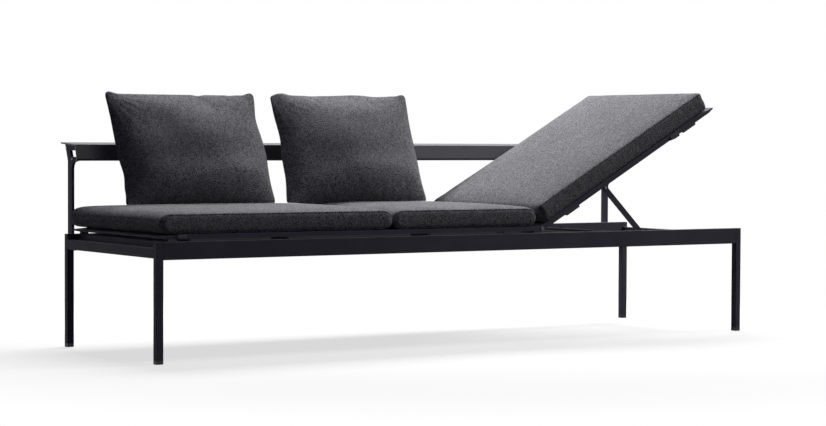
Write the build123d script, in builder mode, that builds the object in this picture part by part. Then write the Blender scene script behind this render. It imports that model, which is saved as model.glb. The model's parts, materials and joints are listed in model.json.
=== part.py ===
import os
from math import asin, cos, degrees, hypot, radians, sin, sqrt, tan

from build123d import *

os.makedirs("parts", exist_ok=True)

# A reclining outdoor daybed: a low tube base, a fixed seat frame, a hinged back frame held up by a
# prop stand, a raised back shelf on two posts, three seat pads and two loose pillows.
# Origin: floor, under the middle of the whole object. +X runs along the seat, +Y to the back shelf.

# Base
base_length = 2000.0
base_depth = 576.0
base_height = 317.0
leg_side = 20.0
tube_wall = 2.0
edge_radius = 1.5
rail_height = 47.0
rail_width = 20.0
end_rail_height = 27.0
end_rail_width = 20.0
end_rail_drop = 16.0
glide_height = 10.0
glide_plug_height = 24.0
glide_clearance = 0.2
brace_inset = 35.0
brace_width = 20.0
brace_height = 30.0

# Frames that carry the sling, seat and back alike
panel_rail_width = 24.0
panel_rail_height = 12.0
panel_bore_width = 17.0
panel_bore_height = 6.0
panel_front_inset = 10.0
panel_lift = 6.0
end_bar_depth = 70.0
end_bar_nose = 20.0
nose_rise = 4.0
nose_height = 3.0
sling_thickness = 1.2
sling_seat_width = 6.0
sling_end_gap = 1.0
cross_bar_width = 20.0
cross_bar_height = 8.0
strip_width = 10.0
strip_block_length = 22.0
strip_block_gap = 4.0

# Recline hinge, and the back's length from its pin to the nose
nose_inset = 18.0
pin_radius = 4.0
pin_head_radius = 5.5
pin_head_height = 1.5
back_reach = 737.0
back_angle = 29.0
hinge_gap = 1.0
tongue_thickness = 8.0
tongue_plug = 25.0
fork_gap = 0.4
fork_root = 9.0
fork_length = 16.0
running_clearance = 0.05
plug_clearance = 0.1
skin_gap = 0.3

# Prop stand and the racks that it stands in
stand_along = 268.3
stand_drop = 15.2
arm_length = 205.0
arm_width = 17.0
arm_thickness = 5.0
foot_radius = 5.0
foot_end_gap = 1.0
foot_axis_height = 303.0
lug_thickness = 6.0
lug_top_length = 44.0
lug_radius = 9.0
arm_gap = 0.6
pivot_head_radius = 7.0
pivot_head_height = 4.0
rack_thickness = 7.5
rack_height = 24.0
rack_margin = 22.0
rack_clearance = 0.4
rack_notch_depth = 1.2
rack_curve_steps = 14
path_step_share = 0.001
rack_stop_rise = 3.0
rivet_radius = 2.5
rivet_inset = 9.0
rivet_rise = 7.0

# Blocks under the back frame that land on the base when it lies flat
block_inset = 66.0
block_length = 52.0
block_start = 97.0

# Back shelf and its posts
post_inset = 38.0
post_thickness = 8.0
post_depth = 27.0
post_standoff = 35.0
post_foot_height = 276.0
shelf_lead = 23.0
shelf_top_height = 567.0
shelf_top_depth = 98.0
shelf_top_rise = 6.0
shelf_face_height = 40.0
shelf_face_lean = 12.0
shelf_lip_height = 6.0
shelf_lip_depth = 4.0
shelf_wall = 4.0
shelf_cap_length = 15.0
upper_arm_height = 13.0
lower_arm_rise = 5.0
lower_arm_drop = 23.0
gusset_steps = 6
post_lean_height = 42.0
post_lean = 18.0
standoff_radius = 8.0
standoff_spacing = 22.0
tab_thickness = 4.0
tab_margin = 8.0
bolt_margin = 6.0
bolt_radius = 2.5
bolt_head_radius = 3.9
bolt_head_height = 2.5
bolt_tail = 1.5
nut_radius = 4.6
nut_thickness = 4.0
nut_sides = 6
bolt_clearance = 0.1

# Pads, pillows and straps
pad_depth = 576.0
back_pad_depth = 562.0
pad_left_inset = 27.0
pad_left_share = 0.5945
pad_join_gap = 4.0
pad_hinge_gap = 27.0
pad_side_height = 50.0
pad_crown = 14.0
pad_bulge = 5.0
pad_back_start = 9.0
pad_nose_gap = 12.0
pillow_height = 337.0
pillow_thickness = 142.0
pillow_edge = 10.0
pillow_lean = 20.0
pillow_end_gap = 119.0
pillow_middle_gap = 50.0
pillow_hinge_gap = 112.0
strap_width = 30.0
strap_thickness = 1.5
strap_seat_inset = 68.0
strap_back_inset = 125.0
strap_slot_gap = 0.4

overrun = 1.0

# Places that follow from the sizes above
half_length = base_length / 2
half_depth = base_depth / 2
pin_x = half_length - nose_inset - back_reach
post_front = half_depth + post_standoff
shelf_front = post_front - shelf_lead
shelf_rear = shelf_front + shelf_top_depth
mid_y = (half_depth - shelf_rear) / 2
rail_length = base_length - 2 * leg_side
rail_inner = half_depth - rail_width
panel_bottom = base_height + panel_lift
panel_top = panel_bottom + panel_rail_height
panel_half = half_depth - panel_front_inset
panel_width = 2 * panel_half
panel_inner = panel_half - panel_rail_width
pin_height = panel_bottom + panel_rail_height / 2
seat_nose_x = nose_inset - half_length
seat_strap_x = strap_seat_inset - half_length
back_bar_start = back_reach - end_bar_depth
seat_rail_start = seat_nose_x + end_bar_depth
seat_rail_end = pin_x - panel_rail_height / 2 - hinge_gap
tilt = radians(back_angle)
level = Vector(1, 0, 0)
along = Vector(cos(tilt), 0, sin(tilt))
across = Vector(-sin(tilt), 0, cos(tilt))
pad_bottom = panel_top + skin_gap
rail_axis = panel_half - panel_rail_width / 2
sling_half = panel_inner + sling_seat_width
sides = (("front", -1), ("rear", 1))
ends = (("left", -1), ("right", 1))


def save(piece, name):
    """Labels a finished piece and writes it under the same name."""
    piece.part.label = name
    export_step(piece.part, f"parts/{name}.step")


def level_side(y):
    """The plane of the seat's side view at depth y: x to the right, y up, facing the front."""
    return Plane(origin=(0, y, 0), x_dir=(1, 0, 0), z_dir=(0, -1, 0))


def back_side(y):
    """The same side view turned with the raised back: x along it from the pin, y square to it."""
    return Plane(origin=(pin_x, y, pin_height), x_dir=along, z_dir=(0, -1, 0))


def across_at(x, y, z, direction):
    """A plane square to a direction: x of the plane to the rear, its y up or square to the back."""
    return Plane(origin=(x, y, z), x_dir=(0, 1, 0), z_dir=direction)


def back_point(run, lift):
    """A point of the raised back frame's side view in the whole object's x and z."""
    spot = Vector(pin_x, 0, pin_height) + along * run + across * lift
    return spot.X, spot.Z


# Legs and their glides

for end_name, end in ends:
    for side_name, side in sides:
        leg_x = end * (half_length - leg_side / 2)
        leg_y = mid_y + side * (half_depth - leg_side / 2)
        with BuildPart() as leg:
            with BuildSketch(Plane.XY.offset(glide_height)):
                with Locations((leg_x, leg_y)):
                    RectangleRounded(leg_side, leg_side, edge_radius)
            extrude(amount=base_height - glide_height)
            with BuildSketch(Plane.XY.offset(glide_height)):
                with Locations((leg_x, leg_y)):
                    Rectangle(leg_side - 2 * tube_wall, leg_side - 2 * tube_wall)
            extrude(amount=base_height - glide_height - tube_wall, mode=Mode.SUBTRACT)
        save(leg, f"leg_{side_name}_{end_name}")

        plug_side = leg_side - 2 * tube_wall - 2 * glide_clearance
        with BuildPart() as glide:
            with BuildSketch():
                with Locations((leg_x, leg_y)):
                    RectangleRounded(leg_side, leg_side, edge_radius)
            extrude(amount=glide_height)
            with BuildSketch(Plane.XY.offset(glide_height)):
                with Locations((leg_x, leg_y)):
                    Rectangle(plug_side, plug_side)
            extrude(amount=glide_plug_height)
        save(glide, f"glide_{side_name}_{end_name}")

# Long rails between the legs, the rear one drilled for the posts' bolts

post_x = half_length - post_inset - post_thickness / 2
standoff_heights = (
    base_height - rail_height / 2 - standoff_spacing / 2,
    base_height - rail_height / 2 + standoff_spacing / 2,
)
bolt_spots = [(end * post_x, height) for _, end in ends for height in standoff_heights]

for side_name, side in sides:
    rail_y = mid_y + side * (half_depth - rail_width / 2)
    with BuildPart() as rail:
        with BuildSketch(Plane.YZ.offset(-rail_length / 2)):
            with Locations((rail_y, base_height - rail_height / 2)):
                RectangleRounded(rail_width, rail_height, edge_radius)
                Rectangle(rail_width - 2 * tube_wall, rail_height - 2 * tube_wall, mode=Mode.SUBTRACT)
        extrude(amount=rail_length)
        if side > 0:
            with BuildSketch(level_side(mid_y + half_depth)):
                with Locations(*bolt_spots):
                    Circle(bolt_radius + bolt_clearance)
            extrude(amount=tube_wall, mode=Mode.SUBTRACT)
    save(rail, f"{side_name}_rail")


def cross_tube(x, width, height, top):
    """A tube from the front rail's inner face to the rear one's, its middle at x and its top as given."""
    with BuildPart() as tube:
        with BuildSketch(level_side(mid_y + rail_inner)):
            with Locations((x, top - height / 2)):
                RectangleRounded(width, height, edge_radius)
                Rectangle(width - 2 * tube_wall, height - 2 * tube_wall, mode=Mode.SUBTRACT)
        extrude(amount=2 * rail_inner)
    return tube


for end_name, end in ends:
    end_x = end * (half_length - end_rail_width / 2)
    end_rail = cross_tube(end_x, end_rail_width, end_rail_height, base_height - end_rail_drop)
    save(end_rail, f"{end_name}_end_rail")

brace_x = -(half_length - brace_inset - brace_width / 2)
save(cross_tube(brace_x, brace_width, brace_height, base_height), "seat_end_brace")

# Strips that lift the fixed seat frame off the base rails: a short block and a run of strips, with
# room for the pad's strap after the block and, as shares of the run to the hinge, three more gaps

strip_gap_shares = ((0.278, 0.323), (0.637, 0.691), (0.876, 0.896))
strip_end_share = 0.944
strip_run = seat_rail_end + half_length
block_end = seat_strap_x - strip_block_gap
strip_starts = [seat_strap_x + strap_width + strip_block_gap]
strip_starts += [strip_run * gap_end - half_length for _, gap_end in strip_gap_shares]
strip_ends = [strip_run * gap_start - half_length for gap_start, _ in strip_gap_shares]
strip_ends.append(strip_run * strip_end_share - half_length)
strip_spans = [(block_end - strip_block_length, block_end), *zip(strip_starts, strip_ends)]

for side_name, side in sides:
    strip_y = mid_y + side * (panel_half - strip_width / 2)
    with BuildPart() as strips:
        with BuildSketch(Plane.XY.offset(base_height)):
            for start, end in strip_spans:
                with Locations(((start + end) / 2, strip_y)):
                    Rectangle(end - start, strip_width)
        extrude(amount=panel_lift)
    save(strips, f"rest_strips_{side_name}")


# The seat frame and the back frame share their sections

def panel_rail(plane, side, length):
    """A sling rail: a flat tube with a step for the sling's hem along its upper inner edge."""
    with BuildPart() as tube:
        with BuildSketch(plane):
            Rectangle(panel_rail_width, panel_rail_height)
            Rectangle(panel_bore_width, panel_bore_height, mode=Mode.SUBTRACT)
            inner_edge = -side * (panel_rail_width - sling_seat_width) / 2
            with Locations((inner_edge, (panel_rail_height - sling_thickness) / 2)):
                Rectangle(sling_seat_width, sling_thickness, mode=Mode.SUBTRACT)
        extrude(amount=length)
    return tube


def end_bar(plane, facing, strap_slot=0):
    """The frame's end: a bar that thins to a nose, with a step for the sling and room for straps."""
    step_height = panel_rail_height - sling_thickness
    slot_width = strap_thickness + 2 * strap_slot_gap
    outline = (
        (0, 0),
        (facing * (end_bar_depth - end_bar_nose), 0),
        (facing * end_bar_depth, nose_rise),
        (facing * end_bar_depth, nose_rise + nose_height),
        (facing * sling_seat_width, panel_rail_height),
        (facing * sling_seat_width, step_height),
        (0, step_height),
    )
    with BuildPart() as bar:
        with BuildSketch(plane):
            with BuildLine():
                Polyline(*outline, close=True)
            make_face()
        extrude(amount=panel_width)
        if strap_slot > 0:
            for _, side in sides:
                slot_middle = panel_half - side * (panel_inner - skin_gap - strap_thickness / 2)
                with BuildSketch(plane.offset(slot_middle - slot_width / 2)):
                    Rectangle(2 * strap_slot, 2 * (panel_rail_height + overrun))
                extrude(amount=slot_width, mode=Mode.SUBTRACT)
    return bar


def cross_bar(plane, middle, height):
    """A bar between the side rails, standing on the level of their undersides."""
    with BuildPart() as bar:
        with BuildSketch(plane):
            with Locations((middle, height / 2)):
                Rectangle(cross_bar_width, height)
        extrude(amount=2 * panel_inner)
    return bar


def moved(plane, run, lift):
    """The plane shifted within itself."""
    return Plane(origin=plane.from_local_coords((run, lift, 0)), x_dir=plane.x_dir, z_dir=plane.z_dir)


def sling(plane, length):
    """The sling's cloth, flat between the steps of its frame."""
    with BuildPart() as cloth:
        with BuildSketch(plane):
            with Locations((length / 2, -sling_thickness / 2)):
                Rectangle(length, sling_thickness)
        extrude(amount=2 * sling_half)
    return cloth


half_rail = panel_rail_height / 2
under_sling = panel_rail_height - sling_thickness
seat_rail_length = seat_rail_end - seat_rail_start
back_rail_length = back_bar_start - fork_length

for side_name, side in sides:
    seat_plane = across_at(seat_rail_start, mid_y + side * rail_axis, pin_height, level)
    save(panel_rail(seat_plane, side, seat_rail_length), f"seat_rail_{side_name}")
    back_x, back_z = back_point(fork_length, 0)
    back_plane = across_at(back_x, mid_y + side * rail_axis, back_z, along)
    save(panel_rail(back_plane, side, back_rail_length), f"back_rail_{side_name}")

panel_rear = mid_y + panel_half
seat_base = moved(level_side(panel_rear), seat_rail_start, panel_bottom)
back_base = moved(back_side(panel_rear), back_bar_start, -half_rail)
seat_slot = seat_rail_start - seat_strap_x + strap_slot_gap
save(end_bar(seat_base, -1, seat_slot), "seat_end_bar")
save(end_bar(back_base, 1), "back_end_bar")

seat_inner = moved(level_side(mid_y + panel_inner), 0, panel_bottom)
back_inner = moved(back_side(mid_y + panel_inner), 0, -half_rail)
seat_hinge_bar_x = seat_rail_end - cross_bar_width / 2
seat_cross_shares = (0.34, 0.68)
save(cross_bar(seat_inner, seat_hinge_bar_x, under_sling), "seat_hinge_bar")
for name, share in zip(("left", "right"), seat_cross_shares):
    bar_x = seat_rail_start + seat_rail_length * share
    save(cross_bar(seat_inner, bar_x, cross_bar_height), f"seat_cross_bar_{name}")

back_lower_bar = fork_length + cross_bar_width / 2
back_cross_share = 0.62
save(cross_bar(back_inner, back_lower_bar, under_sling), "back_lower_bar")
save(cross_bar(back_inner, back_reach * back_cross_share, cross_bar_height), "back_cross_bar")

sling_rear = mid_y + sling_half
seat_sling_start = seat_rail_start - sling_seat_width + sling_end_gap
seat_sling_length = seat_rail_end - sling_end_gap - seat_sling_start
save(sling(moved(level_side(sling_rear), seat_sling_start, panel_top), seat_sling_length), "seat_sling")
back_sling_start = fork_length + sling_end_gap
back_sling_length = back_bar_start + sling_seat_width - sling_end_gap - back_sling_start
save(sling(moved(back_side(sling_rear), back_sling_start, half_rail), back_sling_length), "back_sling")


# Recline hinge: a tongue on the seat rail, a fork on the back rail and a pin through both

plug_width = panel_bore_width - 2 * plug_clearance
plug_height = panel_bore_height - 2 * plug_clearance
knuckle = half_rail


def slab(plane, run_from, run_to, thickness, middle_y, height):
    """Adds a block, centred on the pin's level, to the part being built."""
    base = moved(Plane(origin=(plane.origin.X, middle_y + thickness / 2, plane.origin.Z),
                       x_dir=plane.x_dir, z_dir=plane.z_dir), (run_from + run_to) / 2, 0)
    with BuildSketch(base) as profile:
        Rectangle(abs(run_to - run_from), height)
    extrude(profile.sketch, amount=thickness, dir=base.z_dir)


def round_end(plane, thickness, middle_y, radius, mode):
    """Adds or cuts a disc about the plane's own origin."""
    base = Plane(origin=(plane.origin.X, middle_y + thickness / 2, plane.origin.Z),
                 x_dir=plane.x_dir, z_dir=plane.z_dir)
    with BuildSketch(base) as profile:
        Circle(radius)
    extrude(profile.sketch, amount=thickness, dir=base.z_dir, mode=mode)


fork_thickness = (panel_rail_width - tongue_thickness) / 2 - fork_gap

for side_name, side in sides:
    hinge_y = mid_y + side * rail_axis
    seat_pin = moved(level_side(hinge_y), pin_x, pin_height)
    back_pin = back_side(hinge_y)
    with BuildPart() as tongue:
        slab(seat_pin, seat_rail_end - pin_x, 0, tongue_thickness, hinge_y, panel_rail_height)
        round_end(seat_pin, tongue_thickness, hinge_y, knuckle, Mode.ADD)
        root = seat_rail_end - pin_x
        slab(seat_pin, root - tongue_plug, root, plug_width, hinge_y, plug_height)
        round_end(seat_pin, tongue_thickness, hinge_y, pin_radius, Mode.SUBTRACT)
    save(tongue, f"hinge_tongue_{side_name}")

    with BuildPart() as fork:
        slab(back_pin, fork_root, fork_length, panel_rail_width, hinge_y, panel_rail_height)
        slab(back_pin, fork_length, fork_length + tongue_plug, plug_width, hinge_y, plug_height)
        for cheek in (-1, 1):
            cheek_y = hinge_y + cheek * (panel_rail_width - fork_thickness) / 2
            slab(back_pin, 0, fork_root, fork_thickness, cheek_y, panel_rail_height)
            round_end(back_pin, fork_thickness, cheek_y, knuckle, Mode.ADD)
        round_end(back_pin, panel_rail_width, hinge_y, pin_radius + running_clearance, Mode.SUBTRACT)
    save(fork, f"hinge_fork_{side_name}")

with BuildPart() as hinge_pins:
    for side_name, side in sides:
        hinge_y = mid_y + side * rail_axis
        head_y = hinge_y + side * (panel_rail_width / 2 + skin_gap + pin_head_height / 2)
        seat_pin = moved(level_side(hinge_y), pin_x, pin_height)
        round_end(seat_pin, panel_rail_width + 2 * skin_gap, hinge_y, pin_radius, Mode.ADD)
        round_end(seat_pin, pin_head_height, head_y, pin_head_radius, Mode.ADD)
save(hinge_pins, "hinge_pins")

# Prop stand: lugs under the back rails, two arms and the foot bar that stands in the racks

lug_middle = rail_inner - foot_end_gap - lug_thickness / 2 - foot_end_gap
arm_middle = lug_middle - lug_thickness / 2 - arm_gap - arm_thickness / 2
pivot_x, pivot_z = back_point(stand_along, -stand_drop)
arm_dip = asin((pivot_z - foot_axis_height) / arm_length)
foot_x = pivot_x + arm_length * cos(arm_dip)
flat_pivot_z = pin_height - stand_drop
flat_dip = asin((flat_pivot_z - foot_axis_height) / arm_length)
flat_foot_x = pin_x + stand_along + arm_length * cos(flat_dip)
stand_turn = degrees(arm_dip - flat_dip) + back_angle
arm_direction = Vector(cos(arm_dip), 0, -sin(arm_dip))


def pivot_side(y):
    """The side view about the stand's pivot, x along the raised back."""
    return moved(back_side(y), stand_along, -stand_drop)


for side_name, side in sides:
    lug_y = mid_y + side * lug_middle
    arm_y = mid_y + side * arm_middle
    with BuildPart() as lug:
        with BuildSketch(pivot_side(lug_y + lug_thickness / 2)):
            with BuildLine():
                Polyline(
                    (-lug_top_length / 2, stand_drop - half_rail),
                    (lug_top_length / 2, stand_drop - half_rail),
                    (lug_radius, 0),
                    (-lug_radius, 0),
                    close=True,
                )
            make_face()
            Circle(lug_radius)
            Circle(pin_radius, mode=Mode.SUBTRACT)
        extrude(amount=lug_thickness)
    save(lug, f"stand_lug_{side_name}")

    with BuildPart() as arm:
        arm_start = (pivot_x, arm_y + arm_thickness / 2, pivot_z)
        arm_plane = Plane(origin=arm_start, x_dir=arm_direction, z_dir=(0, -1, 0))
        with BuildSketch(arm_plane):
            with Locations((arm_length / 2, 0)):
                SlotCenterToCenter(arm_length, arm_width)
            Circle(pin_radius + running_clearance, mode=Mode.SUBTRACT)
            with Locations((arm_length, 0)):
                Circle(foot_radius, mode=Mode.SUBTRACT)
        extrude(amount=arm_thickness)
    save(arm, f"prop_arm_{side_name}")

foot_reach = rail_inner - foot_end_gap
with BuildPart() as foot_bar:
    with BuildSketch(moved(level_side(mid_y + foot_reach), foot_x, foot_axis_height)):
        Circle(foot_radius)
    extrude(amount=2 * foot_reach)
save(foot_bar, "prop_foot_bar")

with BuildPart() as pivot_bolts:
    for side_name, side in sides:
        outer = lug_middle + lug_thickness / 2
        inner = arm_middle - arm_thickness / 2 - skin_gap
        shank_y = mid_y + side * (outer + inner) / 2
        head_y = mid_y + side * (inner - pivot_head_height / 2)
        round_end(pivot_side(shank_y), outer - inner, shank_y, pin_radius, Mode.ADD)
        round_end(pivot_side(head_y), pivot_head_height, head_y, pivot_head_radius, Mode.ADD)
save(pivot_bolts, "pivot_bolts")

# The racks follow the foot bar's path. The stand turns in step with the back, so between its two
# ends the foot dips a little, and the rack's upper edge is a curve that dips with it.


def foot_place(angle):
    """Where the foot bar's axis is when the back stands at this angle, as x and height."""
    turn = radians(angle)
    x = pin_x + stand_along * cos(turn) + stand_drop * sin(turn)
    z = pin_height + stand_along * sin(turn) - stand_drop * cos(turn)
    dip = flat_dip + (arm_dip - flat_dip) * angle / back_angle
    return x + arm_length * cos(dip), z - arm_length * sin(dip)


stop_shares = (1.0, 0.667, 0.333, 0.0)
stop_places = [foot_place(back_angle * share) for share in stop_shares]
rack_bottom = foot_axis_height - foot_radius - rack_height
rack_start = foot_x - rack_margin
rack_end = flat_foot_x + rack_margin
rack_stop = foot_axis_height + rack_stop_rise
seat_radius = foot_radius + rack_clearance


def under_foot(share):
    """The foot bar's side that faces the rack, a clearance off, at this share of the back's angle."""
    x, z = foot_place(back_angle * share)
    next_x, next_z = foot_place(back_angle * (share + path_step_share))
    step = hypot(next_x - x, next_z - z)
    return x + seat_radius * (z - next_z) / step, z - seat_radius * (x - next_x) / step


rack_curve = [under_foot(index / rack_curve_steps) for index in range(rack_curve_steps, -1, -1)]
first_x = rack_curve[0][0]
last_x = rack_curve[-1][0]


rivet_height = rack_bottom + rivet_rise
rivet_spots = [(rack_start + rivet_inset, rivet_height), (rack_end - rivet_inset, rivet_height)]

for side_name, side in sides:
    near = mid_y + side * rail_inner
    far = near - side * rack_thickness
    with BuildPart() as rack:
        with BuildSketch(level_side(max(near, far))):
            with BuildLine():
                Polyline(
                    rack_curve[0],
                    (first_x, rack_stop),
                    (rack_start, rack_stop),
                    (rack_start, rack_bottom),
                    (rack_end, rack_bottom),
                    (rack_end, rack_stop),
                    (last_x, rack_stop),
                    rack_curve[-1],
                )
                Spline(*rack_curve)
            make_face()
            with Locations(stop_places[0], stop_places[-1]):
                Circle(seat_radius, mode=Mode.SUBTRACT)
            with Locations(*stop_places[1:-1]):
                Circle(seat_radius + rack_notch_depth, mode=Mode.SUBTRACT)
            with Locations(*rivet_spots):
                Circle(rivet_radius + bolt_clearance, mode=Mode.SUBTRACT)
        extrude(amount=rack_thickness)
    save(rack, f"prop_rack_{side_name}")

with BuildPart() as rack_rivets:
    for side_name, side in sides:
        near = mid_y + side * rail_inner
        far = near - side * rack_thickness
        with BuildSketch(level_side(max(near, far))):
            with Locations(*rivet_spots):
                Circle(rivet_radius)
        extrude(amount=rack_thickness)
save(rack_rivets, "rack_rivets")

# Landing blocks under the back rails, one pair near the hinge and one near the end

block_height = panel_lift - skin_gap
block_reaches = (block_start, back_bar_start - block_inset)
with BuildPart() as blocks:
    for side_name, side in sides:
        block_y = mid_y + side * (panel_half - strip_width / 2)
        block_plane = back_side(block_y + strip_width / 2)
        for reach in block_reaches:
            with BuildSketch(moved(block_plane, reach, -half_rail - block_height)):
                Rectangle(block_length, block_height, align=(Align.MIN, Align.MIN))
            extrude(amount=strip_width)
save(blocks, "back_landing_blocks")

# Back shelf: one bent section, a cap at each end, two posts with arms that hold it

shelf_face_foot = shelf_top_height - shelf_face_height
shelf_bottom = shelf_face_foot - shelf_lip_height
top_slope = shelf_top_rise / shelf_top_depth
face_slope = shelf_face_lean / shelf_face_height
shelf_corner = shelf_front + shelf_wall * (1 - face_slope) / (1 - face_slope * top_slope)


def face_back(height):
    """Depth of the shelf's hidden face at a height."""
    return shelf_front - (shelf_top_height - height) * face_slope + shelf_wall


def top_under(depth):
    """Height of the shelf top's underside at a depth."""
    return shelf_top_height + (depth - shelf_front) * top_slope - shelf_wall


def shelf_outline():
    """The shelf's section as depth and height: face, top, and the small lip below the face."""
    lip_front = shelf_front - shelf_face_lean + shelf_lip_depth
    return (
        (shelf_front, shelf_top_height),
        (shelf_rear, shelf_top_height + shelf_top_rise),
        (shelf_rear, shelf_top_height + shelf_top_rise - shelf_wall),
        (shelf_corner, top_under(shelf_corner)),
        (face_back(shelf_face_foot), shelf_face_foot),
        (lip_front + shelf_wall, shelf_bottom),
        (lip_front, shelf_bottom),
        (shelf_front - shelf_face_lean, shelf_face_foot),
    )


def along_x(points, x_from, x_to, offset):
    """Adds a section given as depth and height, carried from x_from to x_to."""
    with BuildSketch(Plane.YZ.offset(x_from)) as section:
        with BuildLine():
            Polyline(*[(offset + y, z) for y, z in points], close=True)
        make_face()
    extrude(section.sketch, amount=x_to - x_from, dir=(1, 0, 0))


shelf_half = half_length - post_inset
with BuildPart() as shelf:
    along_x(shelf_outline(), -shelf_half + shelf_cap_length, shelf_half - shelf_cap_length, mid_y)
save(shelf, "back_shelf")

post_rear = post_front + post_depth
under_front = top_under(shelf_front)
upper_arm_foot = under_front - upper_arm_height
lower_arm_top = shelf_face_foot + lower_arm_rise


def post_shift(height):
    """How far back the post's leaning head has come at a height."""
    return post_lean * (height - shelf_bottom) / post_lean_height


def post_outline():
    """The post's side view as depth and height: foot, leaning head, and two arms to the shelf."""
    head_rear = post_rear + post_shift(under_front)
    lip_rear = face_back(shelf_face_foot) + shelf_lip_depth
    gusset_depth = post_front - lip_rear
    gusset_foot = shelf_bottom - lower_arm_drop
    gusset = []
    for step in range(gusset_steps + 1):
        swing = radians(90 * step / gusset_steps)
        gusset.append((lip_rear + gusset_depth * sin(swing), gusset_foot + lower_arm_drop * cos(swing)))
    return (
        (post_front, post_foot_height),
        (post_rear, post_foot_height),
        (post_rear, shelf_bottom),
        (head_rear, top_under(head_rear)),
        (shelf_corner, top_under(shelf_corner)),
        (face_back(upper_arm_foot), upper_arm_foot),
        (post_front + post_shift(upper_arm_foot), upper_arm_foot),
        (post_front + post_shift(lower_arm_top), lower_arm_top),
        (face_back(lower_arm_top), lower_arm_top),
        (face_back(shelf_face_foot), shelf_face_foot),
        *gusset,
    )


# Tabs on the shelf's inside, behind the posts' arms, take the bolts; their places as depth and height
upper_bolt = (post_rear + bolt_margin, upper_arm_foot + bolt_margin)
lower_bolt = (post_front - bolt_margin, lower_arm_top - bolt_margin)


def upper_tab_outline():
    """A tab that hangs under the shelf's top, round the upper bolt."""
    front = upper_bolt[0] - tab_margin
    rear = upper_bolt[0] + tab_margin
    return (
        (front, top_under(front)),
        (front, upper_arm_foot),
        (rear, upper_arm_foot),
        (rear, top_under(rear)),
    )


def lower_tab_outline():
    """A tab that stands behind the shelf's face, round the lower bolt."""
    rear = lower_bolt[0] + tab_margin
    return (
        (face_back(lower_arm_top), lower_arm_top),
        (face_back(shelf_face_foot), shelf_face_foot),
        (face_back(shelf_face_foot) + shelf_lip_depth, shelf_bottom),
        (rear, shelf_bottom - lower_arm_rise),
        (rear, lower_arm_top),
    )


for end_name, end in ends:
    outer = end * shelf_half
    with BuildPart() as cap:
        inner = end * (shelf_half - shelf_cap_length)
        along_x(shelf_outline(), min(outer, inner), max(outer, inner), mid_y)
    save(cap, f"shelf_cap_{end_name}")

    with BuildPart() as post:
        inner = end * (shelf_half - post_thickness)
        along_x(post_outline(), min(outer, inner), max(outer, inner), mid_y)
        with BuildSketch(level_side(mid_y + post_rear)):
            with Locations(*[(end * post_x, height) for height in standoff_heights]):
                Circle(bolt_radius + bolt_clearance)
        extrude(amount=post_depth, mode=Mode.SUBTRACT)
        with BuildSketch(Plane.YZ.offset(min(outer, inner))):
            with Locations(*[(mid_y + y, z) for y, z in (upper_bolt, lower_bolt)]):
                Circle(bolt_radius + bolt_clearance)
        extrude(amount=post_thickness, mode=Mode.SUBTRACT)
    save(post, f"back_post_{end_name}")

with BuildPart() as tabs:
    for end_name, end in ends:
        outer = end * (shelf_half - post_thickness)
        inner = end * (shelf_half - post_thickness - tab_thickness)
        along_x(upper_tab_outline(), min(outer, inner), max(outer, inner), mid_y)
        along_x(lower_tab_outline(), min(outer, inner), max(outer, inner), mid_y)
        with BuildSketch(Plane.YZ.offset(min(outer, inner))):
            with Locations(*[(mid_y + y, z) for y, z in (upper_bolt, lower_bolt)]):
                Circle(bolt_radius + bolt_clearance)
        extrude(amount=tab_thickness, mode=Mode.SUBTRACT)
save(tabs, "shelf_tabs")

with BuildPart() as standoffs:
    with BuildSketch(level_side(mid_y + post_front)):
        with Locations(*bolt_spots):
            Circle(standoff_radius)
            Circle(bolt_radius + bolt_clearance, mode=Mode.SUBTRACT)
    extrude(amount=post_standoff)
save(standoffs, "post_standoffs")

with BuildPart() as post_bolts:
    with BuildSketch(level_side(mid_y + post_rear)):
        with Locations(*bolt_spots):
            Circle(bolt_radius)
    extrude(amount=post_depth + post_standoff + tube_wall + nut_thickness + bolt_tail)
    with BuildSketch(level_side(mid_y + post_rear + bolt_head_height)):
        with Locations(*bolt_spots):
            Circle(bolt_head_radius)
    extrude(amount=bolt_head_height)
    with BuildSketch(level_side(mid_y + half_depth - tube_wall)):
        with Locations(*bolt_spots):
            RegularPolygon(nut_radius, side_count=nut_sides)
    extrude(amount=nut_thickness)
save(post_bolts, "post_bolts")

with BuildPart() as shelf_bolts:
    for end_name, end in ends:
        for y, z in (upper_bolt, lower_bolt):
            head = across_at(end * shelf_half, mid_y + y, z, level * -end)
            with BuildSketch(head):
                Circle(bolt_radius)
            extrude(amount=post_thickness + tab_thickness + nut_thickness + bolt_tail)
            with BuildSketch(head):
                Circle(bolt_head_radius)
            extrude(amount=-bolt_head_height)
            with BuildSketch(head.offset(post_thickness + tab_thickness)):
                RegularPolygon(nut_radius, side_count=nut_sides)
            extrude(amount=nut_thickness)
save(shelf_bolts, "shelf_bolts")


# Pads: a flat underside, sides that bulge, a crowned top, and ends drawn in

def pad_section(plane, width, side_height, crown, bulge):
    """A closed section: level foot, two bulging sides and an arched top."""
    with BuildSketch(plane) as section:
        with BuildLine():
            Line((-width / 2, 0), (width / 2, 0))
            ThreePointArc((width / 2, 0), (width / 2 + bulge, side_height / 2), (width / 2, side_height))
            ThreePointArc((width / 2, side_height), (0, side_height + crown), (-width / 2, side_height))
            ThreePointArc((-width / 2, side_height), (-width / 2 - bulge, side_height / 2), (-width / 2, 0))
        make_face()
    return section.sketch


# Near a pad's end: how far in as a share of the side's height, then the shares of the crown, of
# the side's height and of the bulge that the section has there
pad_end_shares = (
    (0.0, 0.05, 0.74, 0.2),
    (0.05, 0.2, 0.88, 0.45),
    (0.15, 0.4, 0.96, 0.7),
    (0.38, 0.62, 1.0, 0.9),
    (0.9, 0.82, 1.0, 1.0),
    (1.9, 0.95, 1.0, 1.0),
)


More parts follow.
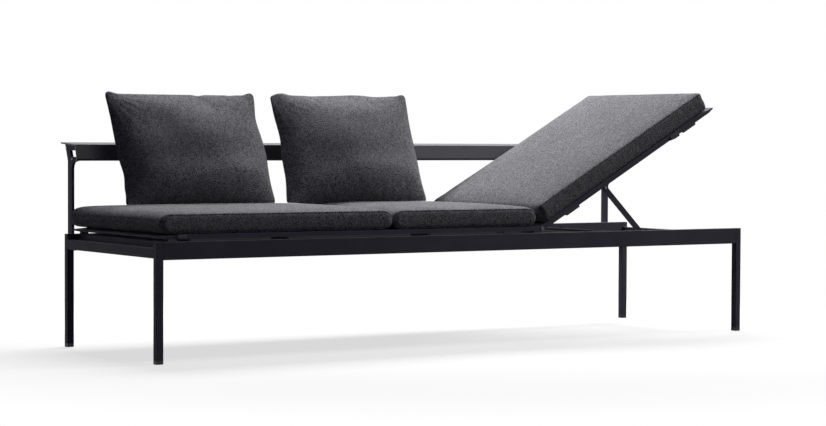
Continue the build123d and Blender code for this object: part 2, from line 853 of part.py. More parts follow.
def pad(start_x, start_z, direction, length, depth):
    """A pad lofted through sections square to its length, its front edge over the frame's."""
    middle_y = mid_y - panel_half + depth / 2
    stations = [(share * pad_side_height, *rest) for share, *rest in pad_end_shares]
    stations.append((length / 2, 1.0, 1.0, 1.0))
    stations += [(length - run, *rest) for run, *rest in reversed(stations[:-1])]
    sections = []
    for run, crown_share, height_share, bulge_share in stations:
        spot = Vector(start_x, middle_y, start_z) + direction * run
        sections.append(
            pad_section(
                across_at(spot.X, spot.Y, spot.Z, direction),
                depth - 2 * pad_bulge,
                pad_side_height * height_share,
                pad_crown * crown_share,
                pad_bulge * bulge_share,
            )
        )
    with BuildPart() as cushion:
        loft(sections, ruled=True)
    return cushion


pad_y = mid_y - panel_half + pad_depth / 2
pad_left_x = -half_length + pad_left_inset
pads_length = pin_x - pad_hinge_gap - pad_left_x - pad_join_gap
pad_left_length = pads_length * pad_left_share
pad_middle_length = pads_length - pad_left_length
pad_middle_x = pad_left_x + pad_left_length + pad_join_gap
pad_back_length = back_reach - pad_nose_gap - pad_back_start
save(pad(pad_left_x, pad_bottom, level, pad_left_length, pad_depth), "seat_pad_left")
save(pad(pad_middle_x, pad_bottom, level, pad_middle_length, pad_depth), "seat_pad_middle")
back_pad_x, back_pad_z = back_point(pad_back_start, half_rail + skin_gap)
save(pad(back_pad_x, back_pad_z, along, pad_back_length, back_pad_depth), "back_pad")


# Pillows: knife-edged, fullest in the middle, their corners drawn in

# Up a pillow: the share of its height, then the shares of its width and of its thickness there
pillow_shares = (
    (0.0, 0.985, 0.0),
    (0.03, 0.975, 0.24),
    (0.09, 0.96, 0.48),
    (0.19, 0.945, 0.74),
    (0.33, 0.935, 0.94),
    (0.47, 0.93, 1.0),
    (0.61, 0.932, 0.95),
    (0.76, 0.94, 0.78),
    (0.88, 0.955, 0.53),
    (0.96, 0.972, 0.27),
    (1.0, 0.985, 0.0),
)
pillow_width = (half_length + pin_x - pillow_end_gap - pillow_middle_gap - pillow_hinge_gap) / 2
pillow_left_x = -half_length + pillow_end_gap + pillow_width / 2
pillow_right_x = pin_x - pillow_hinge_gap - pillow_width / 2
lean = radians(pillow_lean)
crown_radius = (pad_depth**2 / 4 + pad_crown**2) / (2 * pad_crown)


def pad_top(y):
    """Height of a seat pad's crowned top at a depth."""
    fall = crown_radius - sqrt(crown_radius**2 - (y - pad_y) ** 2)
    return pad_bottom + pad_side_height + pad_crown - fall


# The pillow's fullest line meets the shelf's front edge, and its foot stands on the pad
pillow_reach = (shelf_top_height - pad_top(shelf_front / 2)) * tan(lean) + pillow_thickness / 2 / cos(lean)
pillow_foot_y = mid_y + shelf_front - skin_gap - pillow_reach
pillow_foot_z = pad_top(pillow_foot_y) + skin_gap + pillow_edge / 2 * sin(lean)


def pillow(middle_x):
    """A leaning pillow lofted through lens sections from its foot to its top."""
    rise = Vector(0, sin(lean), cos(lean))
    foot = Vector(middle_x, pillow_foot_y, pillow_foot_z)
    with BuildPart() as cushion:
        for up, width_share, thickness_share in pillow_shares:
            half = pillow_width * width_share / 2
            depth = pillow_edge / 2 + (pillow_thickness - pillow_edge) / 2 * thickness_share
            with BuildSketch(Plane(origin=foot + rise * (pillow_height * up), x_dir=(1, 0, 0), z_dir=rise)):
                with BuildLine():
                    ThreePointArc((-half, 0), (0, depth), (half, 0))
                    ThreePointArc((half, 0), (0, -depth), (-half, 0))
                make_face()
        loft(ruled=True)
    return cushion


save(pillow(pillow_left_x), "pillow_left")
save(pillow(pillow_right_x), "pillow_right")


# Straps that tie the end pads to their frames: a band round the rail's outside, underside and inside

def strap(plane, side):
    """Adds one band to the part being built, its outer side toward the front or the rear."""
    outer = panel_rail_width / 2 + skin_gap
    with BuildSketch(plane) as band:
        with BuildLine():
            Polyline(
                (side * (outer + strap_thickness), half_rail + skin_gap),
                (side * (outer + strap_thickness), -half_rail - skin_gap - strap_thickness),
                (-side * (outer + strap_thickness), -half_rail - skin_gap - strap_thickness),
                (-side * (outer + strap_thickness), half_rail - sling_thickness - skin_gap),
                (-side * outer, half_rail - sling_thickness - skin_gap),
                (-side * outer, -half_rail - skin_gap),
                (side * outer, -half_rail - skin_gap),
                (side * outer, half_rail + skin_gap),
                close=True,
            )
        make_face()
    extrude(band.sketch, amount=strap_width, dir=plane.z_dir)


with BuildPart() as seat_straps:
    for side_name, side in sides:
        strap(across_at(seat_strap_x, mid_y + side * rail_axis, pin_height, level), side)
save(seat_straps, "seat_pad_straps")

with BuildPart() as back_straps:
    for side_name, side in sides:
        strap_x, strap_z = back_point(back_bar_start - strap_back_inset, 0)
        strap(across_at(strap_x, mid_y + side * rail_axis, strap_z, along), side)
save(back_straps, "back_pad_straps")

print("stand pivot at", round(pivot_x, 2), round(pivot_z, 2))
print("foot bar at", round(foot_x, 2), "and with the back flat at", round(flat_foot_x, 2))
print("stand turns", round(stand_turn, 3), "degrees while the back turns", back_angle)
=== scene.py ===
"""The looks of a double chaise lounger: its pads, pillows, slings, straps, finishes, light and camera.

Every length is in metres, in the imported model's own frame: X along the bench, Y towards its rear, Z up.
"""
import json
import math

import bpy
import numpy as np
from mathutils import Matrix, Vector


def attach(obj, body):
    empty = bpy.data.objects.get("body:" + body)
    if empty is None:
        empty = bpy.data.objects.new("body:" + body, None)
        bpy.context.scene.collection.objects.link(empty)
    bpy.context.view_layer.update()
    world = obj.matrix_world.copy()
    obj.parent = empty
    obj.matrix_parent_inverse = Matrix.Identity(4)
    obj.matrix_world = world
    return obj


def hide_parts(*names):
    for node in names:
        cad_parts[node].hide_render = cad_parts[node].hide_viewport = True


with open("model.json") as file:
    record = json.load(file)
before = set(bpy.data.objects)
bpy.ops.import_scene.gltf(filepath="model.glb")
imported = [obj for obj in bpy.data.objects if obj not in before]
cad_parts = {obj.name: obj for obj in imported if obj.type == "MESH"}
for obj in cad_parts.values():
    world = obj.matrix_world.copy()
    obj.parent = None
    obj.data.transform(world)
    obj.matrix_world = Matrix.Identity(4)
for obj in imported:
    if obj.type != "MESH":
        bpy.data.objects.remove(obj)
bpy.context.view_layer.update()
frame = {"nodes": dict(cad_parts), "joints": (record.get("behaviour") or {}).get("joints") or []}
nodes = frame["nodes"]


# The bench's directions, and the raised back's own about the hinge on which it reclines

along_bench = np.array([1.0, 0, 0])
to_rear = np.array([0, 1, 0])
straight_up = np.array([0, 0, 1.0])
recline = next(joint for joint in frame["joints"] if joint["name"] == "back_recline")
pin = np.array(recline["pos_m"])
back_angle = math.radians(recline["range_deg"][1])
up_back = np.array([math.cos(back_angle), 0, math.sin(back_angle)])
off_back = np.array([-math.sin(back_angle), 0, math.cos(back_angle)])

# The least that a length is divided by

tiny = 1e-9


# Nodes and colours

def linear(code):
    """The linear colour of a screen colour: each channel's curve undone."""
    channels = np.array([int(code[at : at + 2], 16) for at in (1, 3, 5)]) / 255
    low = channels / 12.92
    high = ((channels + 0.055) / 1.055) ** 2.4
    return (*np.where(channels <= 0.04045, low, high), 1.0)


def shade(code, factor):
    """The linear colour of a screen colour, each channel made factor times as strong."""
    return (*(min(1.0, factor * part) for part in linear(code)[:3]), 1.0)


def per_mm(size):
    """The texture scale at which one cell is size millimetres wide."""
    return 1000 / size


def node(tree, kind, inputs=None, **settings):
    """Adds a node; inputs are numbers, colours or other nodes' outputs, by the socket's name or place."""
    made = tree.nodes.new(kind)
    for name, value in settings.items():
        setattr(made, name, value)
    for name, value in (inputs or {}).items():
        if isinstance(value, bpy.types.NodeSocket):
            tree.links.new(value, made.inputs[name])
        else:
            made.inputs[name].default_value = value
    return made


def math_node(tree, operation, *values):
    """Adds a sum or another operation on numbers and gives its result."""
    return node(tree, "ShaderNodeMath", dict(enumerate(values)), operation=operation).outputs[0]


def spread(tree, value, low, high, start=0.0, end=1.0):
    """Stretches the part of value between low and high over start to end."""
    inputs = {"Value": value, "From Min": low, "From Max": high, "To Min": start, "To Max": end}
    return node(tree, "ShaderNodeMapRange", inputs).outputs["Result"]


def blend_colours(tree, share, first, second):
    """Mixes two colours: first where share is 0, second where it is 1."""
    made = node(tree, "ShaderNodeMix", {"Factor": share}, data_type="RGBA")
    for name, value in (("A", first), ("B", second)):
        socket = next(s for s in made.inputs if s.name == name and s.type == "RGBA")
        if isinstance(value, bpy.types.NodeSocket):
            tree.links.new(value, socket)
        else:
            socket.default_value = value
    return next(s for s in made.outputs if s.type == "RGBA")


def noise(tree, place, size, detail=2.0, roughness=0.5):
    """A noise whose cells are size millimetres wide, from 0 to 1."""
    inputs = {"Vector": place, "Scale": per_mm(size), "Detail": detail, "Roughness": roughness}
    return node(tree, "ShaderNodeTexNoise", inputs).outputs["Fac"]


def ribs_along(tree, value, pitch):
    """A sine of value, from 0 to 1, whose waves are pitch millimetres long."""
    turns = math_node(tree, "MULTIPLY", value, 2 * math.pi * per_mm(pitch))
    return spread(tree, math_node(tree, "SINE", turns), -1, 1)


def object_place(tree):
    """Where a point is on the piece, in metres."""
    return node(tree, "ShaderNodeTexCoord").outputs["Object"]


def cloth_place(tree):
    """Where a point is on the flat cloth, in metres, from the piece's own map: its two coordinates."""
    chart = node(tree, "ShaderNodeUVMap", uv_map="cloth").outputs["UV"]
    split = node(tree, "ShaderNodeSeparateXYZ", {"Vector": chart})
    return split.outputs["X"], split.outputs["Y"]


def empty_tree(owner):
    """The node tree of a material or a world, with nothing in it."""
    owner.use_nodes = True
    owner.node_tree.nodes.clear()
    return owner.node_tree


def finish_named(name, values):
    """A new material, its tree and its shader, which has the values given."""
    made = bpy.data.materials.new(name)
    tree = empty_tree(made)
    shader = node(tree, "ShaderNodeBsdfPrincipled", values)
    node(tree, "ShaderNodeOutputMaterial", {"Surface": shader.outputs["BSDF"]})
    return made, tree, shader


def dress(tree, shader, colour, roughness, height, depth):
    """Puts a colour, a roughness and a bump of a height field, depth metres deep, on a shader."""
    bump = node(tree, "ShaderNodeBump", {"Height": height, "Strength": 1.0, "Distance": depth})
    tree.links.new(colour, shader.inputs["Base Color"])
    tree.links.new(roughness, shader.inputs["Roughness"])
    tree.links.new(bump.outputs["Normal"], shader.inputs["Normal"])


# Finishes: every size of a pattern is in millimetres, and every depth of a bump in metres

def powder_coat(name, tone, rough, gloss):
    """A fine textured powder coat: an orange-peel grain catches the light, and the tone drifts a little.

    The real grain is finer, and it is drawn as coarse as it needs to show.
    """
    made, tree, shader = finish_named(name, {"Specular IOR Level": gloss})
    place = object_place(tree)
    grain = noise(tree, place, size=0.7, detail=3.0, roughness=0.6)
    cloud = noise(tree, place, size=90)
    rubbed = noise(tree, place, size=14, detail=4.0, roughness=0.65)
    lighter = shade(tone, 1.35)
    colour = blend_colours(tree, spread(tree, cloud, 0.35, 0.7, end=0.6), linear(tone), lighter)
    colour = blend_colours(tree, spread(tree, rubbed, 0.62, 0.8, end=0.35), colour, lighter)
    roughness = spread(tree, grain, 0.3, 0.7, rough - 0.05, rough + 0.1)
    dress(tree, shader, colour, roughness, grain, depth=0.00006)
    return made


def moulded_nylon(name, tone):
    """Moulded nylon: a faint spark-eroded grain and slight flow marks."""
    made, tree, shader = finish_named(name, {"Specular IOR Level": 0.35})
    place = object_place(tree)
    grain = noise(tree, place, size=0.5)
    flow = noise(tree, place, size=12, detail=3.0, roughness=0.6)
    colour = blend_colours(tree, spread(tree, flow, 0.35, 0.7, end=0.7), linear(tone), shade(tone, 1.6))
    dress(tree, shader, colour, spread(tree, flow, 0.3, 0.7, 0.5, 0.65), grain, depth=0.00004)
    return made


def turned_steel(name, tone, rough):
    """Turned stainless steel: fine tool marks break up its shine, and a faint stain darkens it in places."""
    made, tree, shader = finish_named(name, {"Metallic": 1.0})
    place = object_place(tree)
    marks = noise(tree, place, size=0.35, detail=3.0, roughness=0.7)
    stain = noise(tree, place, size=5, detail=3.0)
    colour = blend_colours(tree, spread(tree, stain, 0.35, 0.7, end=0.8), linear(tone), shade(tone, 0.6))
    roughness = spread(tree, marks, 0.3, 0.7, rough - 0.08, rough + 0.12)
    dress(tree, shader, colour, roughness, marks, depth=0.00003)
    return made


def fleck_fabric(name):
    """Woven outdoor fabric: dark ground yarn with broken light yarns, so it reads as salt and pepper.

    The flecks are a little longer upwards than across, and they gather in clumps.
    """
    soft = {"Specular IOR Level": 0.2, "Sheen Weight": 0.05, "Sheen Roughness": 0.5}
    made, tree, shader = finish_named(name, soft)
    longer = {0: object_place(tree), 1: (1.0, 1.0, 0.6)}
    place = node(tree, "ShaderNodeVectorMath", longer, operation="MULTIPLY").outputs["Vector"]
    flecks = noise(tree, place, size=1.8, detail=1.0)
    yarns = noise(tree, place, size=0.8, detail=1.0)
    clumps = noise(tree, place, size=11)
    cloud = noise(tree, place, size=120)
    mottle = math_node(tree, "ADD", flecks, math_node(tree, "MULTIPLY", clumps, 0.15))
    ground = linear("#262528")
    colour = blend_colours(tree, spread(tree, mottle, 0.43, 0.72), linear("#1f1e21"), linear("#b2b1b5"))
    colour = blend_colours(tree, spread(tree, yarns, 0.3, 0.7, end=0.3), colour, ground)
    colour = blend_colours(tree, spread(tree, cloud, 0.35, 0.65, end=0.12), colour, ground)
    height = math_node(tree, "ADD", yarns, math_node(tree, "MULTIPLY", flecks, 1.5))
    dress(tree, shader, colour, spread(tree, yarns, 0.3, 0.7, 0.86, 0.97), height, depth=0.0007)
    return made


def sling_cloth(name):
    """Coated sling cloth: fine ribs along the bench with picks across them, so it has a dull lined look."""
    made, tree, shader = finish_named(name, {"Specular IOR Level": 0.3})
    along, across = cloth_place(tree)
    ribs = ribs_along(tree, across, pitch=2.4)
    picks = ribs_along(tree, along, pitch=1.6)
    height = math_node(tree, "ADD", ribs, math_node(tree, "MULTIPLY", picks, 0.4))
    drift = noise(tree, object_place(tree), size=40)
    colour = blend_colours(tree, ribs, linear("#151517"), linear("#36363b"))
    colour = blend_colours(tree, spread(tree, drift, 0.3, 0.7, end=0.3), colour, linear("#242427"))
    dress(tree, shader, colour, spread(tree, picks, 0, 1, 0.5, 0.7), height, depth=0.0004)
    return made


def woven_webbing(name):
    """Polyester webbing: fine diagonal ribs that turn back every 7.5 mm give it a herringbone."""
    made, tree, shader = finish_named(name, {"Specular IOR Level": 0.3})
    along, across = cloth_place(tree)
    slant = math_node(tree, "ADD", along, math_node(tree, "PINGPONG", across, 7.5 / 1000))
    ribs = ribs_along(tree, slant, pitch=1.8)
    fuzz = noise(tree, object_place(tree), size=0.6)
    colour = blend_colours(tree, ribs, linear("#28282b"), linear("#59595e"))
    colour = blend_colours(tree, spread(tree, fuzz, 0.3, 0.7, end=0.5), colour, linear("#343438"))
    dress(tree, shader, colour, spread(tree, fuzz, 0.3, 0.7, 0.7, 0.85), ribs, depth=0.0003)
    return made


finishes = {
    "frame_coat": powder_coat("charcoal_powder_coat", "#605f6a", rough=0.5, gloss=0.05),
    "shelf_coat": powder_coat("graphite_powder_coat", "#3a3941", rough=0.4, gloss=0.35),
    "foot_plastic": moulded_nylon("black_moulded_nylon", "#1e1e21"),
    "sling_mesh": sling_cloth("ribbed_sling_cloth"),
    "pad_fabric": fleck_fabric("flecked_outdoor_fabric"),
    "webbing": woven_webbing("black_herringbone_webbing"),
    "bolt_steel": turned_steel("blackened_bolt_steel", "#6c6c70", rough=0.4),
    "pin_steel": turned_steel("turned_pin_steel", "#4c4c50", rough=0.35),
}

for piece in nodes.values():
    for place in piece.material_slots:
        place.material = finishes[place.material.name]


# Skins and cloth

def place_mesh(name, points, faces, chart=None):
    """A new piece whose faces are rows of point numbers; chart lays each face's corners on the cloth."""
    mesh = bpy.data.meshes.new(name)
    mesh.from_pydata(points.tolist(), [], faces.tolist())
    if chart is not None:
        layer = mesh.uv_layers.new(name="cloth")
        layer.data.foreach_set("uv", chart.astype(np.float32).ravel())
    mesh.polygons.foreach_set("use_smooth", np.ones(len(mesh.polygons), dtype=bool))
    mesh.update()
    piece = bpy.data.objects.new(name, mesh)
    bpy.context.collection.objects.link(piece)
    return piece


def stations(length, step, edge):
    """Lattice lines from 0 to length: close together at both edges, step apart between them."""
    edge = np.array(edge)
    inner = np.linspace(edge[-1], length - edge[-1], 2 + int((length - 2 * edge[-1]) / step))
    return np.concatenate([edge[:-1], inner, length - edge[:-1][::-1]])


def block_skin(xs, ys, zs):
    """The outer skin of a block of lattice points: its points, its outward faces and their cloth chart.

    Each side of the block is a grid of squares, and the chart lays each side flat in its own plane.
    """
    i, j, k = np.meshgrid(*[np.arange(len(lines)) for lines in (xs, ys, zs)], indexing="ij")
    last = [len(lines) - 1 for lines in (xs, ys, zs)]
    skin = (i == 0) | (i == last[0]) | (j == 0) | (j == last[1]) | (k == 0) | (k == last[2])
    number = np.full(skin.shape, -1)
    number[skin] = np.arange(skin.sum())
    points = np.stack([xs[i], ys[j], zs[k]], axis=-1)[skin]
    faces = []
    chart = []
    for axis, flat in enumerate(((2, 1), (0, 2), (0, 1))):
        for side in (0, -1):
            plane = np.take(number, side, axis)
            quads = np.stack([plane[:-1, :-1], plane[1:, :-1], plane[1:, 1:], plane[:-1, 1:]], axis=-1)
            quads = quads.reshape(-1, 4)
            quads = quads[:, ::-1] if (side == 0) != (axis == 1) else quads
            faces.append(quads)
            chart.append(points[quads.ravel()][:, flat])
    return points, np.concatenate(faces), np.concatenate(chart)


def round_plan(plan, half, corner):
    """Draws each corner square of a flat plan in to a quarter disc of radius corner."""
    signs = np.where(plan < 0, -1.0, 1.0)
    over = np.abs(plan) - (half - corner)
    in_corner = (over > 0).all(axis=1)
    draw = np.where(in_corner, over.max(axis=1) / np.maximum(np.hypot(*over.T), tiny), 1.0)
    drawn = over * draw[:, None] + half - corner
    return signs * np.where(in_corner[:, None], drawn, np.abs(plan))


def skin_normals(points, faces):
    """Each point's outward direction: the sum of its faces' diagonal products."""
    across = np.cross(points[faces[:, 2]] - points[faces[:, 0]], points[faces[:, 3]] - points[faces[:, 1]])
    total = np.zeros_like(points)
    for corner in range(4):
        np.add.at(total, faces[:, corner], across)
    return total / np.maximum(np.linalg.norm(total, axis=1), tiny)[:, None]


def sew(points, faces, depth):
    """Draws each point in by its own depth, against the skin's direction there."""
    return points - skin_normals(points, faces) * depth[:, None]


swell_steps = 20
cloth_quality = 5


def swell(name, points, faces, cap, pressure, held=None, growth=0.0):
    """Blows the closed skin up as cloth, step by step; a point's whole shift tends to cap at the most.

    The held points stay where they are, and growth is the share by which the cloth is cut too large.
    """
    piece = place_mesh(name, points, faces)
    cloth = piece.modifiers.new("swell", "CLOTH")
    cloth.settings.use_pressure = True
    cloth.settings.uniform_pressure_force = pressure
    cloth.settings.effector_weights.gravity = 0
    cloth.settings.quality = cloth_quality
    cloth.settings.shrink_min = -growth
    if held is not None:
        group = piece.vertex_groups.new(name="held")
        group.add(np.flatnonzero(held).tolist(), 1.0, "REPLACE")
        cloth.settings.vertex_group_mass = "held"
    scene = bpy.context.scene
    for step in range(swell_steps):
        scene.frame_set(step + 1)
    shown = piece.evaluated_get(bpy.context.evaluated_depsgraph_get())
    blown = np.empty(3 * len(points), dtype=np.float32)
    shown.data.vertices.foreach_get("co", blown)
    scene.frame_set(1)
    bpy.data.objects.remove(piece)
    shift = blown.reshape(-1, 3).astype(float) - points
    far = np.maximum(np.linalg.norm(shift, axis=1), tiny)
    return points + shift * (cap * np.tanh(far / cap) / far)[:, None]


def soft_piece(name, points, faces, chart, body, stands_for):
    """A padded piece in its place, with one subdivision and the fabric."""
    piece = place_mesh(name, points, faces, chart)
    round_off = piece.modifiers.new("smooth", "SUBSURF")
    round_off.levels = 1
    round_off.render_levels = 1
    piece.data.materials.append(finishes["pad_fabric"])
    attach(piece, body)
    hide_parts(stands_for)


# Foam pads: their lattice lines in from each end, side and face, and the steps between the inner ones

end_lines = (0.0, 0.004, 0.009, 0.015, 0.022, 0.030, 0.038)
side_lines = (0.0, 0.0016, 0.0035, 0.0065, 0.011, 0.018)
rise_lines = (0.0, 0.0018, 0.0042, 0.0062, 0.0095, 0.015)
flat_step = 0.010
rise_step = 0.006

# The round at a side panel's edge and the share by which it grows at a nose, the panel's belly and how far
# in that reaches, how far sides and ends pull in between the corners, and how long the crown takes to rise

panel_round = 0.0085
nose_round_share = 0.3
panel_belly = 0.0022
belly_reach = 0.03
side_draw = 0.0022
end_draw = 0.001
crown_run = 0.17

# Seams: the groove round a side panel, which bends at the noses by its slant, the one across an end at a
# share of the height, and the welt along the panel's edge; a half is the half of a seam's width

groove_in = 0.0045
groove_half = 0.0021
groove_slant = 0.7
groove_depth = 0.0020
low_groove_depth = 0.0005
end_seam_share = 0.62
end_seam_half = 0.0031
end_seam_depth = 0.0016
welt_height = 0.0008

# Up to this height from its foot a pad's cloth doesn't swell downwards

foot_rise = 0.012


def pad_block(points, size, nose, fullness, crown, corner):
    """Turns a block's skin into a wrapped foam pad.

    One cloth goes over the top, round both ends and under, so seen from the front each end is half an
    oval, nose long and squarer with more fullness: with a the share of the way into the nose and b the
    share of the half height, the larger of a and |b| is kept as the oval's own size. The side panels
    meet that wrap on a small round. The sides belly out by 1 - b*b and pull in between their corners,
    and the top rises by crown times a parabola across and a cubic ramp along the pad. Seen from above,
    each corner is a quarter circle of radius corner.
    """
    half = np.array(size) / 2
    middle = points - half
    signs = np.where(middle < 0, -1.0, 1.0)
    a = np.clip((np.abs(middle[:, 0]) - half[0] + nose) / nose, 0, 1)
    b = middle[:, 2] / half[2]
    level = np.maximum(a, np.abs(b))
    wide = panel_round * (1 + nose_round_share * a)
    near_wrap = np.clip(wide - (1 - level) * half[2], 0, None)
    near_panel = np.clip(wide - (half[1] - np.abs(middle[:, 1])), 0, None)
    rounded = (near_wrap > 0) & (near_panel > 0)
    draw = np.where(rounded, wide / np.maximum(np.hypot(near_wrap, near_panel), tiny), 1.0)
    kept = np.where(rounded, 1 - (wide - near_wrap * draw) / half[2], level)
    oval = (a**fullness + np.abs(b) ** fullness) ** (1 / fullness)
    shrink = kept / np.maximum(oval, tiny)
    x = np.where(a > 0, half[0] - nose + a * shrink * nose, np.abs(middle[:, 0])) * signs[:, 0]
    z = np.where(level > 0, b * shrink, b) * half[2]
    y = np.where(rounded, half[1] - wide + near_panel * draw, np.abs(middle[:, 1]))
    near_side = np.clip(1 - (half[1] - y) / belly_reach, 0, 1) ** 2
    y = y + panel_belly * (1 - (z / half[2]) ** 2) * near_side
    run = np.clip(x / half[0], -1, 1)
    cross = y / half[1]
    y = (y - side_draw * cross * (1 - run**2)) * signs[:, 1]
    x = x - end_draw * run**3 * (1 - cross**2)
    ramp = 1 - (1 - np.clip((half[0] - np.abs(x)) / crown_run, 0, 1)) ** 3
    share = np.clip(z / half[2] * 0.5 + 0.5, 0, 1)
    z = z + crown * ramp * (1 - cross**2) * share
    tip = np.clip((np.abs(x) - half[0] + corner) / corner, 0, 1)
    y = y * (1 - corner * (1 - np.sqrt(1 - tip**2)) / half[1])
    return np.column_stack([x, y, z]) + half


def pad_form(size, nose, fullness, crown, corner):
    """A foam pad lying at its own corner, swollen a little, then sewn.

    The seams are a groove round each side panel, 4 to 6 mm in from its edge, and one across each end.
    """
    length, depth, height = size
    lines = (stations(length, flat_step, end_lines), stations(depth, flat_step, side_lines))
    points, faces, chart = block_skin(*lines, stations(height, rise_step, rise_lines))
    edges = [np.isclose(points[:, axis], 0) | np.isclose(points[:, axis], size[axis]) for axis in range(3)]
    in_x = np.minimum(points[:, 0], length - points[:, 0])
    in_z = np.minimum(points[:, 2], height - points[:, 2])
    level = np.where(in_x < end_lines[-1], np.minimum(in_z, in_x * groove_slant), in_z)
    groove = edges[1] & (np.abs(level - groove_in) < groove_half)
    welt = edges[1] & (edges[0] | edges[2])
    across = edges[0] & (np.abs(points[:, 2] - end_seam_share * height) < end_seam_half)
    formed = pad_block(points, size, nose, fullness, crown, corner)
    blown = swell("pad_blank", formed, faces, cap=0.005, pressure=3.0)
    under = formed[:, 2] < foot_rise
    blown[:, 2] = np.where(under, np.maximum(blown[:, 2], formed[:, 2]), blown[:, 2])
    lower = points[:, 2] < height / 2
    drawn_in = [low_groove_depth, groove_depth, end_seam_depth, -welt_height]
    depths = np.select([groove & lower, groove, across, welt], drawn_in, 0.0)
    return sew(blown, faces, depths), faces, chart


# Seat pads: the height of their foot, the front of all three pads, the seat pads' depth and height, and
# from where up their tops count

pad_foot = 0.3355
pad_front = -0.333
seat_pad_depth = 0.578
seat_pad_height = 0.054
top_from = 0.030


def seat_pad(name, start, end, node_name):
    """A seat pad between two places along the bench; returns the points of its upper half."""
    size = (end - start, seat_pad_depth, seat_pad_height)
    points, faces, chart = pad_form(size, nose=0.036, fullness=2.3, crown=0.0058, corner=0.004)
    placed = points + [start, pad_front, pad_foot]
    soft_piece(name, placed, faces, chart, "base", node_name)
    return placed[points[:, 2] > top_from]


left_top = seat_pad("left_seat_pad", start=-0.9865, end=-0.2617, node_name="seat_pad_left")
middle_top = seat_pad("middle_seat_pad", start=-0.2688, end=0.2315, node_name="seat_pad_middle")
pad_tops = np.concatenate([left_top, middle_top])


# The raised back's pad: its size, and where it starts along the back and off it, from the hinge

back_pad_size = (0.7175, 0.5625, 0.0565)
back_pad_start = 0.0120
back_pad_foot = 0.0065


def back_pad():
    """The raised back's pad, from just above the hinge to just short of the frame's nose."""
    points, faces, chart = pad_form(back_pad_size, nose=0.015, fullness=3.0, crown=0.0070, corner=0.018)
    along = (points[:, :1] + back_pad_start) * up_back
    off = (points[:, 2:] + back_pad_foot) * off_back
    side = (points[:, 1:2] + pad_front - pin[1]) * to_rear
    soft_piece("raised_back_pad", pin + along + off + side, faces, chart, "back", "back_pad")


back_pad()


# Scatter pillows: the half of their length and height, how many lattice lines they have each way, and the
# round at their corners

pillow_half = np.array([0.240, 0.1685])
pillow_counts = (81, 57)
pillow_round = 0.013

# Each corner's place on the pillow's own plane, from its middle

pillow_corners = {
    "left": ((-0.2335, -0.1690), (0.2440, -0.1670), (0.2320, 0.1760), (-0.2450, 0.1745)),
    "right": ((-0.2450, -0.1690), (0.2440, -0.1670), (0.2380, 0.1795), (-0.2380, 0.1785)),
}

# Tucks: each one's side, where on it from -1 to 1, how wide, and how far in the edge goes there

pillow_tucks = {
    "left": (
        ("left", -0.46, 0.22, 0.0080), ("left", -0.82, 0.12, 0.0030), ("right", -0.10, 0.30, -0.0050),
        ("right", 0.52, 0.22, 0.0060), ("top", 0.23, 0.06, 0.0035), ("top", 0.67, 0.05, 0.0015),
    ),
    "right": (
        ("left", 0.16, 0.30, 0.0080), ("left", -0.50, 0.30, 0.0055), ("top", 0.22, 0.26, -0.0040),
        ("top", 0.52, 0.10, 0.0015), ("right", -0.55, 0.30, 0.0015), ("top", -0.40, 0.10, 0.0015),
        ("top", -0.97, 0.07, 0.0080), ("top", -0.83, 0.08, -0.0060), ("top", 0.80, 0.09, -0.0020),
        ("right", 0.30, 0.35, 0.0020),
    ),
}

# Bulges and hollows of the front: where from -1 to 1 across and up, how wide each way, and how high

pillow_dents = {
    "left": (
        (-0.56, -0.52, 0.24, 0.22, 0.0040), (0.50, -0.46, 0.30, 0.22, 0.0040),
        (-0.38, 0.30, 0.16, 0.36, -0.0035), (0.02, -0.34, 0.26, 0.20, -0.0030),
        (0.16, 0.52, 0.26, 0.22, 0.0020), (-0.05, -0.60, 0.85, 0.27, 0.0120),
    ),
    "right": (
        (-0.40, -0.36, 0.26, 0.26, -0.0035), (0.16, 0.66, 0.24, 0.20, 0.0030),
        (0.62, -0.48, 0.26, 0.24, 0.0030), (-0.30, 0.34, 0.20, 0.30, -0.0020),
        (0.30, 0.08, 0.20, 0.20, 0.0020), (0.00, -0.60, 0.80, 0.27, 0.0130),
    ),
}

# Slow hollows: each wave's turn across and up and how many times the pillow's phase it gets, and the
# waves' share of the puff

pillow_waves = ((5.1, 2.3, 1), (-3.7, 4.9, 2), (-1.9, 6.3, 0))
wave_share = 0.04

# The gathers at a corner, and how fast the relief fades in from the seam

gather_folds = 6
gather_reach = 0.035
gather_height = 0.0008
relief_rise = 8

# How far the sides pull in, the top edge's sag, the shares of the way to an end at which its ears start
# and over which they rise, how far below the middle the filling sits, the puff's power, and the form's
# height at the seam and in the middle

side_pull = 0.003
top_sag = 0.0070
ear_start = 0.83
ear_run = 0.13
low_filling = 0.20
puff_power = 0.8
seam_height = 0.003
puff_height = 0.060


def pillow_relief(u, v, side):
    """How far a pillow's skin stands out at u, v: its bulges and hollows and the gathers at its corners.

    Each bulge or hollow is a bell curve both ways. At each corner six folds fan out: a sine of the angle
    round the corner, strongest 35 mm from it. All of it fades to nothing at the seam.
    """
    height = np.zeros_like(u)
    for across, up, wide, tall, amount in pillow_dents[side]:
        height += amount * np.exp(-(((u - across) / wide) ** 2) - ((v - up) / tall) ** 2)
    for end in (-1, 1):
        for rise in (-1, 1):
            run, climb = (1 - end * u) * pillow_half[0], (1 - rise * v) * pillow_half[1]
            away = np.hypot(run, climb) / gather_reach
            folds = np.sin(4 * gather_folds * np.arctan2(climb, run) + end + 2 * rise)
            height += gather_height * away * np.exp(1 - away) * folds
    return height * np.clip((1 - u**2) * (1 - v**2) * relief_rise, 0, 1)


